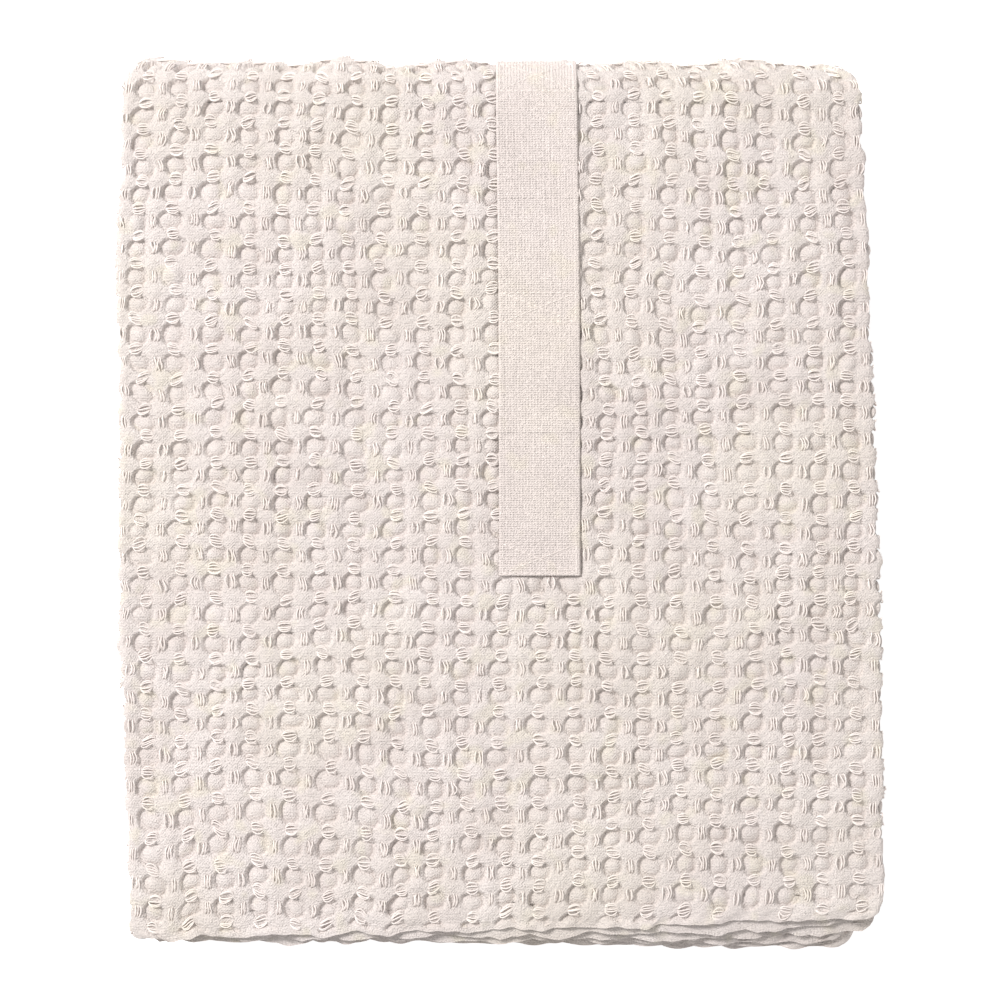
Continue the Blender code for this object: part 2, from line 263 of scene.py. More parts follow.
def place(name, u, v, height):
    """A point of the folded cloth in the frame: u across, v along, and its height over the face."""
    run = RUNS[name]
    along = v - run["v"]
    inset = run["inset"]
    if "radius" in run:
        angle = run["start"] + run["turn"] * along / run["radius"]
        y = run["center"][0] + run["radius"] * np.sin(angle)
        x, depth, across, outward = section(u, y, inset)
        out = run["radius"] - run["outward"] * (depth - outward * height)
        return np.stack([x + across * height, run["center"][0] + out * np.sin(angle),
                         run["center"][1] + out * np.cos(angle)], -1)
    y = run["y"] + run["heading"] * along
    if "inset_end" in run:
        inset = run["inset_end"] * smooth(0, run["length"], along)
    x, depth, across, outward = section(u, y, inset)
    y = y + end_shift(name, x, u, along)
    z = run["z"] - run["up"] * (depth - outward * height)
    return np.stack([x + across * height, y + 0 * x, z + 0 * x], -1)


start_corner = place("front_outer", np.array(0.0), np.array(0.0), np.array(0.0))
print("middle of the outer end, mm:", (start_corner / MM).round(1))

# %% [markdown]
# ## The waffle weave
# In the weave, small round pads of plain cloth lie sunk between raised crossings, and on
# the four sides of each pad the threads are left loose: weft threads above and below it,
# warp threads left and right. The relief of the pads is real geometry, a height field
# over (u, v), so that it shades and casts shadows from every side. The loose threads are
# thin tubes of their own, because a height field can't hang over its own edge.

# %% The size of a cell and its chance differences
CELL_U = 15.4 * MM
CELL_V = 11.9 * MM
CELLS = 128
PAD_U = 4.75 * MM
PAD_V = 4.05 * MM
NODE_LEVEL = -0.45 * MM
PAD_DEPTH = 2.35 * MM
chance = np.random.default_rng(41)
pad_depth = PAD_DEPTH * chance.uniform(0.82, 1.12, (CELLS, CELLS))
pad_depth *= np.where(chance.random((CELLS, CELLS)) < 0.04, 0.5, 1.0)
pad_wide = PAD_U * chance.uniform(0.93, 1.07, (CELLS, CELLS))
pad_tall = PAD_V * chance.uniform(0.92, 1.08, (CELLS, CELLS))
pad_shift_u = chance.normal(0, 0.32 * MM, (CELLS, CELLS))
pad_shift_v = chance.normal(0, 0.24 * MM, (CELLS, CELLS))
pad_dome = chance.uniform(1.5, 2.2, (CELLS, CELLS)) * MM
pad_lean = chance.normal(0, 0.10, (2, CELLS, CELLS))
node_turn = chance.uniform(0, math.tau, (CELLS, CELLS))
weft_lift = chance.uniform(0.7, 1.1, (CELLS, CELLS))
warp_lift = chance.uniform(0.7, 1.1, (CELLS, CELLS))


def pull_u(u, v):
    """How far the cloth has slipped sideways at a point."""
    return (1.4 * waves(u, v, 3, 95 * MM) + 0.7 * waves(u, v, 4, 31 * MM)) * MM


def pull_v(u, v):
    return (1.5 * waves(u, v, 5, 110 * MM) + 0.65 * waves(u, v, 6, 33 * MM)) * MM


def relief(u, v):
    """Height of the woven face over the cloth's nominal surface, mostly below zero."""
    cell_u = (u + pull_u(u, v)) / CELL_U
    cell_v = (v + pull_v(u, v)) / CELL_V
    i = np.floor(cell_u + 0.5).astype(int)
    j = np.floor(cell_v + 0.5).astype(int)
    across = (cell_u - i) * CELL_U
    up = (cell_v - j) * CELL_V
    i %= CELLS
    j %= CELLS
    reach_u = np.abs(across - pad_shift_u[i, j]) / pad_wide[i, j]
    reach_v = np.abs(up - pad_shift_v[i, j]) / pad_tall[i, j]
    reach = (reach_u ** 2.4 + reach_v ** 2.4) ** (1 / 2.4)
    wall = smooth(0.90, 1.14, reach)
    floor = -pad_depth[i, j] + pad_dome[i, j] * np.clip(1 - (reach / 0.9) ** 2, 0, 1) ** 0.75
    floor = floor + pad_lean[0, i, j] * across + pad_lean[1, i, j] * up
    weft = np.sqrt((across / (2.9 * MM)) ** 2 + ((np.abs(up) - CELL_V / 2) / (2.3 * MM)) ** 2)
    warp = np.sqrt(((np.abs(across) - CELL_U / 2) / (1.9 * MM)) ** 2 + (up / (2.6 * MM)) ** 2)
    upper = -0.6 * MM * smooth(1.15, 0.3, weft) - 0.75 * MM * smooth(1.15, 0.4, warp)
    node_u, node_v = np.abs(across) - CELL_U / 2, np.abs(up) - CELL_V / 2
    node = np.sqrt((node_u / (3.9 * MM)) ** 2 + (node_v / (3.0 * MM)) ** 2)
    node_i, node_j = np.floor(cell_u).astype(int) % CELLS, np.floor(cell_v).astype(int) % CELLS
    side_u = (cell_u - np.floor(cell_u) - 0.5) * CELL_U
    side_v = (cell_v - np.floor(cell_v) - 0.5) * CELL_V
    star = np.cos(7 * np.arctan2(side_v, side_u) + node_turn[node_i, node_j])
    upper = upper + 0.5 * MM * smooth(1.15, 0.0, node)
    upper = upper + 0.2 * MM * star * smooth(1.3, 0.7, node) * smooth(0.15, 0.6, node)
    drag = 0.26 * MM * waves(u * 0.5 + v, u - 0.35 * v, 9, 15 * MM)
    drag = drag * smooth(-0.3, 0.9, waves(u, v, 10, 80 * MM))
    drag = drag + 0.16 * MM * waves(u, v, 15, 8 * MM)
    grain = 0.055 * MM * waves(u, v, 11, 2.3 * MM, 9) * (1 + 0.6 * waves(u, v, 13, 9 * MM))
    return NODE_LEVEL + floor * (1 - wall) + upper * wall + drag + grain


def crumple(u, v):
    """Slow rise and fall of the whole cloth."""
    return (0.55 * waves(u, v, 7, 80 * MM) + 0.22 * waves(u, v, 8, 30 * MM)) * MM


probe = relief(*np.meshgrid(np.linspace(-0.1, 0.1, 400), np.linspace(0, 0.2, 400)))
print("relief, mm:", round(probe.min() / MM, 2), "to", round(probe.max() / MM, 2))

# %% [markdown]
# ## Heights on each run
# Near the two ends the weave stops and a plain hem begins, which is thinner than the
# waffle cloth and waves up and down. Over the top fold the cloth also bulges in and out.
# Under each sewn box of the tape it is pressed flat.

# %% Where the tape and its seams are
tape_low, tape_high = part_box("tape_bottom_end")
TAPE_X = (tape_low.x + tape_high.x) / 2
TAPE_HALF = (tape_high.x - tape_low.x) / 2
middle_low, middle_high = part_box("middle_seam")
bottom_low, bottom_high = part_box("bottom_seam")
SEAM_V = [(middle_low.y - OUTER_END, middle_high.y - OUTER_END),
          (bottom_low.y - OUTER_END, bottom_high.y - OUTER_END),
          (FLAT_FRONT + math.radians(13) * FOLD_Z, FLAT_FRONT + math.radians(60) * FOLD_Z)]
HEM = {"front_outer": 1.0 * MM, "front_inner": 5.0 * MM}
TAPE_END_V = tape_low.y - OUTER_END
OVER_TOP = FLAT_FRONT + math.radians(108) * (FOLD_Z + 1 * MM)
TAPE_SINK = 1.15 * MM
TAPE_SHIFT = 1.2 * MM


def from_end(name, v):
    """Distance to the nearest end of the cloth."""
    return v if name == "front_outer" else travelled - v


def hem_share(name, v):
    """1 in the plain hem, 0 in the weave."""
    if name not in HEM:
        return 0.0 * v
    return smooth(HEM[name] + 3 * MM, HEM[name], from_end(name, v))


def seam_share(v, outside, inside):
    """1 within a seam, fading from inside to outside its ends."""
    share = 0.0 * v
    for low, high in SEAM_V:
        box = smooth(low - outside, low + inside, v) * smooth(high + outside, high - inside, v)
        share = np.maximum(share, box)
    return share


def pressed(u, v):
    """1 where a seam of the tape holds the cloth down."""
    side = smooth(TAPE_HALF + 3 * MM, TAPE_HALF - 2 * MM, np.abs(u - tape_u))
    return side * seam_share(v, 4 * MM, 1 * MM)


left_at_tape, right_at_tape = side_edges(0.05, 0)
flat_at_tape = right_at_tape - TIGHT - left_at_tape - WIDE
tape_share = (TAPE_X + 0.9 * TAPE_SHIFT - left_at_tape - WIDE) / flat_at_tape
tape_u = FACE_LEFT + tape_share * (FACE_RIGHT - FACE_LEFT)
print("tape's middle, u mm:", round(float(tape_u) / MM, 1))


def lip_height(u):
    """How the thin edge of the cloth waves up and down."""
    return (-1.0 + 0.8 * waves(u, 0 * u, 14, 19 * MM) + 0.4 * waves(u, 0 * u, 16, 8 * MM)) * MM


def under_tape(u, v):
    """1 where the tape lies on the cloth and presses it in."""
    side = smooth(TAPE_HALF + 0.5 * MM, TAPE_HALF - 1.5 * MM, np.abs(u - tape_u))
    start = smooth(TAPE_END_V - 0.5 * MM, TAPE_END_V + 1.5 * MM, v)
    return side * start * smooth(OVER_TOP + 4 * MM, OVER_TOP, v)


def base_height(name, u, v):
    """Slow shape of the cloth's face, without the weave."""
    height = -0.35 * MM + np.minimum(crumple(u, v), 0.5 * MM)
    if name == "top_fold":
        around = np.clip((v - RUNS[name]["v"]) / RUNS[name]["length"], 0, 1)
        height = height + 1.3 * MM * waves(u, v * 0.3, 12, 42 * MM) * np.sin(math.pi * around)
    plain = hem_share(name, v)
    lip = lip_height(u)
    height = height * (1 - plain) + lip * plain
    height = height - TAPE_SINK * under_tape(u, v)
    return height * (1 - pressed(u, v)) - (0.9 * MM + TAPE_SINK) * pressed(u, v)


def face_height(name, u, v):
    """Height of the cloth's face on a run, weave and all."""
    keep = (1 - hem_share(name, v)) * (1 - 0.9 * pressed(u, v)) * (1 - 0.5 * under_tape(u, v))
    if name == "crease":
        keep = 0.3 * keep
    return base_height(name, u, v) + relief(u, v) * keep


def reverse_height(name, u, v):
    """Height of the cloth's other side, which lies inside the fold."""
    plain = hem_share(name, v)
    lip = lip_height(u) - 1.1 * MM
    return -(CLOTH - 0.1 * MM) * (1 - plain) + lip * plain


# %% [markdown]
# ## Materials
# Washed cotton is rough, a little fuzzy, and never one colour: the base drifts between a
# warm stone and a paler one, with faint yellowish clouds and cell-sized flecks, and the
# plain weave shows as a fine grain: a bump, with painted shade darkening the colour where
# the threads dip. The grain is drawn with two crossing waves on a UV map in which one unit
# is a centimetre of cloth, so it turns with the cloth round every fold.

# %% Helpers for cotton materials
def add_node(tree, kind, **settings):
    node = tree.nodes.new(kind)
    for key, value in settings.items():
        setattr(node, key, value)
    return node


def maths(tree, operation, first, second=None):
    """A Math node whose inputs are sockets or numbers."""
    node = add_node(tree, "ShaderNodeMath", operation=operation)
    for socket, value in zip(node.inputs, (first, second)):
        if value is None:
            continue
        if isinstance(value, (int, float)):
            socket.default_value = value
        else:
            tree.links.new(value, socket)
    return node.outputs[0]


def mixed(tree, share, first, second, mode="MIX"):
    """A colour mix of two colours, each a socket or a linear RGB triple."""
    node = add_node(tree, "ShaderNodeMix", data_type="RGBA", blend_type=mode)
    for socket, value in ((node.inputs[0], share), (node.inputs[6], first), (node.inputs[7], second)):
        if isinstance(value, tuple):
            socket.default_value = (*value, 1)
        elif isinstance(value, (int, float)):
            socket.default_value = value
        else:
            tree.links.new(value, socket)
    return node.outputs[2]


def noise(tree, vector, scale, detail=3.0, low=0.35, high=0.65):
    """A noise stretched to fill 0 to 1."""
    node = add_node(tree, "ShaderNodeTexNoise")
    node.inputs["Scale"].default_value = scale
    node.inputs["Detail"].default_value = detail
    tree.links.new(vector, node.inputs["Vector"])
    spread = add_node(tree, "ShaderNodeMapRange")
    spread.inputs["From Min"].default_value = low
    spread.inputs["From Max"].default_value = high
    tree.links.new(node.outputs[0], spread.inputs["Value"])
    return spread.outputs[0]


def cotton(name, colours, grain, rib, strength, sheen=0.08, ribbed=0.0):
    """Rough cotton. grain sets the painted shade that darkens the colour between threads, rib is threads
    per centimetre in u and v.
    """
    colour, pale, clouds = colours
    material = bpy.data.materials.new(name)
    material.use_nodes = True
    tree = material.node_tree
    shader = next(n for n in tree.nodes if n.type == "BSDF_PRINCIPLED")
    cloth_map = add_node(tree, "ShaderNodeUVMap", uv_map="Weave")
    place_map = add_node(tree, "ShaderNodeTexCoord").outputs["Object"]
    split = add_node(tree, "ShaderNodeSeparateXYZ")
    tree.links.new(cloth_map.outputs[0], split.inputs[0])
    wobble = noise(tree, cloth_map.outputs[0], 2.5, 2)
    wobble = maths(tree, "MULTIPLY", wobble, 0.25 if ribbed > 0.5 else 1.5)
    weft, warp = [
        maths(tree, "SINE", maths(tree, "ADD", maths(tree, "MULTIPLY", flat, math.tau * per_cm), wobble))
        for flat, per_cm in zip(split.outputs, rib)]
    weave = maths(tree, "MULTIPLY", weft, warp)
    if ribbed:
        ribs = maths(tree, "MULTIPLY", warp, ribbed)
        weave = maths(tree, "ADD", maths(tree, "MULTIPLY", weave, 0.5), ribs)
        weave = maths(tree, "ADD", weave, maths(tree, "MULTIPLY", weft, 0.35 * ribbed))
    fuzz = noise(tree, cloth_map.outputs[0], 15, 3)
    height = maths(tree, "ADD", maths(tree, "MULTIPLY", weave, 0.5), maths(tree, "MULTIPLY", fuzz, 1.0))
    broad = noise(tree, place_map, 38, 3)
    cloudy = noise(tree, place_map, 17, 2, 0.45, 0.72)
    base = mixed(tree, broad, colour, pale)
    base = mixed(tree, maths(tree, "MULTIPLY", cloudy, 0.45), base, clouds)
    flecks = noise(tree, place_map, 95, 1, 0.58, 0.7)
    base = mixed(tree, maths(tree, "MULTIPLY", flecks, 0.75), base, clouds)
    # painted shade: the colour is mixed towards a darker copy where the weave is low, between the threads;
    # the fuzz noise in the same height also gives random tone
    shade = maths(tree, "MULTIPLY", maths(tree, "SUBTRACT", 0.75, height), grain)
    base = mixed(tree, maths(tree, "MAXIMUM", shade, 0.0), base, tuple(c * 0.62 for c in colour))
    tree.links.new(base, shader.inputs["Base Color"])
    rough = maths(tree, "ADD", maths(tree, "MULTIPLY", fuzz, 0.12), 0.82)
    tree.links.new(rough, shader.inputs["Roughness"])
    bump = add_node(tree, "ShaderNodeBump")
    bump.inputs["Strength"].default_value = strength
    bump.inputs["Distance"].default_value = 0.0005
    tree.links.new(height, bump.inputs["Height"])
    tree.links.new(bump.outputs[0], shader.inputs["Normal"])
    shader.inputs["Specular IOR Level"].default_value = 0.25
    shader.inputs["Sheen Weight"].default_value = sheen
    shader.inputs["Sheen Roughness"].default_value = 0.5
    return material


# %% Five cottons
STONE = (0.722, 0.643, 0.608), (0.787, 0.713, 0.682), (0.752, 0.683, 0.59)
# The loose threads' cotton is the cloth's, painted about a tenth lighter as a highlight for threads that
# catch the light.
LOOSE_LIT_STONE = (0.80, 0.72, 0.682), (0.86, 0.784, 0.75), (0.84, 0.774, 0.68)
TAPE_STONE = (0.77, 0.681, 0.642), (0.815, 0.726, 0.687), (0.803, 0.719, 0.625)
THREAD_STONE = (0.75, 0.675, 0.635), (0.79, 0.716, 0.68), (0.77, 0.706, 0.624)
waffle_cotton = cotton("waffle_cotton", STONE, 0.6, (7.8, 7.8), 0.8, ribbed=0.25)
hem_cotton = cotton("hem_cotton", STONE, 0.6, (7.8, 7.8), 0.8, ribbed=0.25)
loose_cotton = cotton("loose_cotton", LOOSE_LIT_STONE, 0.08, (6, 14), 0.3, sheen=0.04)
tape_cotton = cotton("tape_cotton", TAPE_STONE, 0.5, (7.8, 10.0), 0.8, ribbed=0.85)
sewing_thread = cotton("sewing_thread", THREAD_STONE, 0.08, (10, 10), 0.3)
print("materials:", [m.name for m in bpy.data.materials])

# %% [markdown]
# ## Sheets with two sides
# Each length of cloth is a closed shell: a fine grid for its face, a coarse grid for the
# side that lies inside the fold, and a rim that joins them. The rim's faces each take one
# coarse edge and the fine edges beside it. A Solidify modifier would double the fine grid
# for a side that nobody sees. Where two shells meet, their shading has to agree, so the
# normals come from the surface itself, which goes on past the shell's edge.

# %% Build one shell
def unit(vectors):
    """The same directions with length 1."""
    return vectors / np.maximum(np.linalg.norm(vectors, axis=-1, keepdims=True), 1e-12)


def pairs(first, second):
    """Two arrays of one shape as rows of two numbers."""
    return np.stack([first, second], -1).reshape(-1, 2)


def surface_normals(points):
    """Unit normals of a grid of points, from its neighbours along both directions."""
    return unit(np.cross(np.gradient(points, axis=1), np.gradient(points, axis=0)))


def with_margin(line):
    """The line with one more step at both ends."""
    return np.concatenate([[2 * line[0] - line[1]], line, [2 * line[-1] - line[-2]]])


def coarse_index(count, step):
    """Every step-th place of a grid line, and always the last one."""
    index = list(range(0, count - 1, step))
    return np.array(index + [count - 1])


def shell(name, run, u_line, v_line, material, step=4):
    """A closed length of cloth between the first and last u and v, as an object."""
    wide_u, wide_v = np.meshgrid(with_margin(u_line), with_margin(v_line))
    points = place(run, wide_u, wide_v, face_height(run, wide_u, wide_v))
    normals = surface_normals(points)[1:-1, 1:-1]
    points = points[1:-1, 1:-1]
    grid_u, grid_v = wide_u[1:-1, 1:-1], wide_v[1:-1, 1:-1]
    rows, columns = grid_u.shape
    pick_r, pick_c = coarse_index(rows, step), coarse_index(columns, step)
    back_u, back_v = grid_u[np.ix_(pick_r, pick_c)], grid_v[np.ix_(pick_r, pick_c)]
    back = place(run, back_u, back_v, reverse_height(run, back_u, back_v))
    back_normals = unit(back - place(run, back_u, back_v, 0 * back_u))
    front_id = np.arange(rows * columns).reshape(rows, columns)
    back_id = rows * columns + np.arange(back_u.size).reshape(back_u.shape)
    quads = np.stack([front_id[:-1, :-1], front_id[:-1, 1:], front_id[1:, 1:], front_id[1:, :-1]], -1)
    back_quads = np.stack([back_id[:-1, :-1], back_id[1:, :-1], back_id[1:, 1:], back_id[:-1, 1:]], -1)
    rims = []
    for fine, rough, picks, flip in (
            (front_id[0], back_id[0], pick_c, False),
            (front_id[-1], back_id[-1], pick_c, True),
            (front_id[:, 0], back_id[:, 0], pick_r, True),
            (front_id[:, -1], back_id[:, -1], pick_r, False)):
        for k, (low, high) in enumerate(zip(picks[:-1], picks[1:])):
            face = [*fine[low:high + 1][::-1], rough[k], rough[k + 1]]
            rims.append(face[::-1] if flip else face)
    across = (u_line - u_line[0]) / (u_line[-1] - u_line[0])
    upward = (v_line - v_line[0]) / (v_line[-1] - v_line[0])
    plot_x, plot_y = np.meshgrid(0.01 + 0.98 * across, 0.13 + 0.86 * upward)
    back_x, back_y = plot_x[np.ix_(pick_r, pick_c)], 0.01 + 0.08 * upward[pick_r][:, None] + 0 * back_u
    plot = np.concatenate([pairs(plot_x, plot_y), pairs(back_x, back_y)])
    weave = np.concatenate([pairs(grid_u, grid_v), pairs(back_u, back_v)]) / CM
    corners = np.concatenate([quads.ravel(), back_quads.ravel(), *[np.array(r) for r in rims]])
    sizes = np.concatenate([np.full((quads.size + back_quads.size) // 4, 4), [len(r) for r in rims]])
    verts = np.concatenate([points.reshape(-1, 3), back.reshape(-1, 3)])
    rim_start = quads.size + back_quads.size
    corner_plot = plot[corners]
    is_back = corners[rim_start:] >= rows * columns
    corner_plot[rim_start:, 1] = np.where(is_back, 0.100, 0.115)
    made = mesh_object(name, verts, corners, sizes, material, weave[corners], corner_plot)
    made.data.normals_split_custom_set_from_vertices(
        np.concatenate([normals.reshape(-1, 3), back_normals.reshape(-1, 3)]))
    return made


def mesh_object(name, verts, corners, sizes, material, weave, plot):
    """A smooth mesh object from flat arrays, with the two maps that the materials and the bake use."""
    mesh = bpy.data.meshes.new(name)
    mesh.vertices.add(len(verts))
    mesh.vertices.foreach_set("co", verts.astype(np.float32).ravel())
    mesh.loops.add(len(corners))
    mesh.loops.foreach_set("vertex_index", corners.astype(np.int32))
    mesh.polygons.add(len(sizes))
    mesh.polygons.foreach_set("loop_start", np.concatenate([[0], np.cumsum(sizes)[:-1]]).astype(np.int32))
    mesh.update(calc_edges=True)
    mesh.polygons.foreach_set("use_smooth", np.ones(len(sizes), bool))
    for map_name, values in (("Weave", weave), ("OFBake", plot)):
        layer = mesh.uv_layers.new(name=map_name)
        layer.uv.foreach_set("vector", values.astype(np.float32).ravel())
    mesh.materials.append(material)
    made = bpy.data.objects.new(name, mesh)
    bpy.context.scene.collection.objects.link(made)
    return made


def lines(low, high, step):
    """Evenly spaced values from low to high, about a step apart."""
    return np.linspace(low, high, max(2, int(round((high - low) / step)) + 1))


def dress(made, body, slot, *nodes, other=None, start=None, end=None):
    """Makes a piece ride on a body, or, given another body, leaves it fixed in the world, and hides the
    frame's nodes that it stands for.
    """
    if other:
        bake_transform(made)
    else:
        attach(made, body)
    if nodes:
        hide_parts(*nodes)
    print(made.name, len(made.data.polygons), "faces")
    return made


# %% [markdown]
# ## The lengths of cloth
# The face of the front is made finest, because it shows most. The back and the two faces
# that show when the packet is opened are coarser, and the hidden thirds coarsest.

# %% Lay out the cloth
FINE = 0.80 * MM
MEDIUM = 1.15 * MM
ROUGH = 2.4 * MM
HINGE = dict(other="front_half", start=(0, FOLD_Y, 0), end=(0, FOLD_Y, STACK))


def run_lines(run, step, low=0.0, high=None):
    """The values of v along a run, or along the part of it from low to high."""
    first = RUNS[run]["v"]
    last = first + RUNS[run]["length"] if high is None else first + high
    if run == "crease":
        return np.linspace(first, last, 13)
    return lines(first + low, last, step)


def join(name, parts):
    """Several meshes as one object, keeping their normals."""
    with bpy.context.temp_override(active_object=parts[0], selected_editable_objects=parts):
        bpy.ops.object.join()
    parts[0].name = parts[0].data.name = name
    return parts[0]


def hidden_thirds(run, low=0.0, high=None):
    """The two thirds of a run that lie folded under its face, as one piece."""
    v_line = run_lines(run, ROUGH, low, high)
    return join(run + "_thirds", [
        shell(run + "_left", run, lines(LAST_LEFT_U, FOLD_LEFT_U, ROUGH), v_line, waffle_cotton, 2),
        shell(run + "_right", run, lines(FOLD_RIGHT_U, LAST_RIGHT_U, ROUGH), v_line, waffle_cotton, 2)])


def length_of_cloth(run, step, body, node, high=None, **hinge):
    """The face and the hidden thirds of one run, which stand for a node of the frame."""
    u_line, v_line = lines(FOLD_LEFT_U, FOLD_RIGHT_U, step), run_lines(run, step, 0.0, high)
    face = shell(run + "_face", run, u_line, v_line, waffle_cotton)
    thirds = hidden_thirds(run, high=high)
    dress(face, body, "waffle_cotton", node, **hinge)
    dress(thirds, body, "waffle_cotton", **hinge)
    return face, thirds


# %% The front's face, in two halves with one hem
HEM_ROWS = 10.5 * MM
v_front = run_lines("front_outer", FINE, HEM_ROWS)
front_left, front_right = [
    shell("front_outer_face_" + side, "front_outer", lines(first_u, last_u, FINE), v_front, waffle_cotton)
    for side, first_u, last_u in (("left", FOLD_LEFT_U, tape_u), ("right", tape_u, FOLD_RIGHT_U))]
front_thirds = hidden_thirds("front_outer", HEM_ROWS)
dress(front_left, "front_half", "waffle_cotton", "front_outer_strip")
dress(front_right, "front_half", "waffle_cotton")
dress(front_thirds, "front_half", "waffle_cotton")


# %% The hems
def hem(name, run, low, high, node):
    """The last rows of one end, in the whole section, as one piece."""
    v_line = run_lines(run, 0.75 * MM, low, high)
    folds_u = (LAST_LEFT_U, FOLD_LEFT_U, FOLD_RIGHT_U, LAST_RIGHT_U)
    parts = [shell(name + str(k), run, lines(folds_u[k], folds_u[k + 1], 0.9 * MM), v_line, hem_cotton, 3)
             for k in range(3)]
    return dress(join(name, parts), "front_half", "hem_cotton", node)


outer_hem = hem("outer_hem_cloth", "front_outer", 0.0, HEM_ROWS, "outer_hem")
inner_hem = hem("inner_hem_cloth", "front_inner", FLAT_INNER - HEM_ROWS, FLAT_INNER, "inner_hem")

# %% The other runs
top_face, top_thirds = length_of_cloth("top_fold", FINE, "back_half", "top_fold_outer", **HINGE)
back_face, back_thirds = length_of_cloth("back_outer", MEDIUM, "back_half", "back_outer_strip")
fold_face, fold_thirds = length_of_cloth("first_fold", MEDIUM, "back_half", "first_fold")
inner_back, inner_back_thirds = length_of_cloth("back_inner", MEDIUM, "back_half", "back_inner_strip")
inner_front, inner_front_thirds = length_of_cloth(
    "front_inner", MEDIUM, "front_half", "front_inner_strip", high=FLAT_INNER - HEM_ROWS)
crease_face, crease_thirds = length_of_cloth(
    "crease", MEDIUM, "back_half", "top_fold_inner", other="front_half",
    start=(0, FOLD_Y, FOLD_Z - CREASE), end=(0, FOLD_Y, FOLD_Z + CREASE))

# %% [markdown]
# ## The loose threads
# Between two pads, one above the other, three to five weft threads lie free and spread
# like an eye. Between two pads side by side, two or three warp threads run free for a few
# millimetres. They catch the light, so they are what one sees first. Curve objects with a
# bevel would do, but thousands of curves are slow, so each thread is a small tube made
# straight from arrays.

# %% Tubes from arrays of points
def tubes(name, paths, facing, radius, material, sides=4, ends=0.7):
    """Closed tubes along paths (threads, points, 3). facing is the cloth's normal at each point."""
    count, steps, _ = paths.shape
    tangent = unit(np.gradient(paths, axis=1))
    side = unit(np.cross(tangent, facing))
    top = np.cross(side, tangent)
    taper = np.ones(steps)
    taper[[0, -1]] = ends
    angle = math.tau * (np.arange(sides) + 0.5) / sides
    ring = radius * taper[None, :, None, None]
    verts = (paths[:, :, None] + ring * (np.cos(angle)[None, None, :, None] * side[:, :, None]
                                         + np.sin(angle)[None, None, :, None] * top[:, :, None]))
    vertex = np.arange(count * steps * sides).reshape(count, steps, sides)
    after = np.roll(vertex, -1, axis=2)
    quads = np.stack([vertex[:, :-1], vertex[:, 1:], after[:, 1:], after[:, :-1]], -1)
    caps = np.stack([vertex[:, 0], vertex[:, -1, ::-1]], 1)
    corners = np.concatenate([quads.reshape(-1), caps.reshape(-1)])
    sizes = np.concatenate([np.full(quads.size // 4, 4), np.full(2 * count, sides)])
    grid = int(math.ceil(math.sqrt(count)))
    cell = 1 / grid
    thread = np.arange(count)[:, None, None, None]
    step, around = np.arange(steps - 1)[None, :, None, None], np.arange(sides)[None, None, :, None]
    step = step + np.array([0, 1, 1, 0])
    around = around + np.array([0, 0, 1, 1])
    step, around = np.broadcast_arrays(step, around)
    plot = pairs((thread % grid + 0.12 + 0.76 * step / (steps - 1)) * cell,
                 (thread // grid + 0.08 + 0.84 * around / sides) * cell)
    end = np.arange(count)[:, None, None]
    corner_of_cap = 0.04 * np.stack([np.cos(angle), np.sin(angle)])
    which = np.array([0.06, 0.94])[None, :, None]
    cap_plot = pairs((end % grid + which + corner_of_cap[0]) * cell,
                     (end // grid + 0.5 + corner_of_cap[1]) * cell + 0 * which)
    weave = pairs(0.11 * thread + 0.12 * step, 0.06 * around + 0.37 * thread)
    cap_weave = np.broadcast_to(np.stack([0.11 * end, 0.37 * end], -1), (count, 2, sides, 2))
    return mesh_object(name, verts.reshape(-1, 3), corners, sizes, material,
                       np.concatenate([weave, cap_weave.reshape(-1, 2)]),
                       np.concatenate([plot, cap_plot]))


def on_cloth(run, u, v, height):
    """Points on a run and the cloth's normal there."""
    here = place(run, u, v, height)
    return here, unit(place(run, u, v, height + 0.5 * MM) - here)


# %% Where the loose threads are
def crossings(run, shift_u, shift_v):
    """u, v, and cell of each place that is shifted from a pad's middle by these shares of a cell."""
    low_u, high_u = FOLD_LEFT_U + 2 * MM, FOLD_RIGHT_U - 2 * MM
    first, length = RUNS[run]["v"], RUNS[run]["length"]
    i, j = np.meshgrid(np.arange(int(low_u / CELL_U) - 2, int(high_u / CELL_U) + 3),
                       np.arange(int(first / CELL_V) - 2, int((first + length) / CELL_V) + 3))
    i, j = i.ravel(), j.ravel()
    u, v = (i + shift_u) * CELL_U, (j + shift_v) * CELL_V
    for _ in range(4):
        u, v = (i + shift_u) * CELL_U - pull_u(u, v), (j + shift_v) * CELL_V - pull_v(u, v)
    keep = (u > low_u) & (u < high_u) & (v > first + 0.1 * MM) & (v <= first + length)
    u, v, i, j = u[keep], v[keep], i[keep] % CELLS, j[keep] % CELLS
    keep = (hem_share(run, v) < 0.2) & (pressed(u, v) < 0.35)
    return u[keep], v[keep], i[keep], j[keep]


def on_fold(u):
    """1 on the side folds, where the threads lie closer to the cloth."""
    left = smooth(FACE_LEFT + 6 * MM, FACE_LEFT - 2 * MM, u)
    return float(left + smooth(FACE_RIGHT - 6 * MM, FACE_RIGHT + 2 * MM, u))


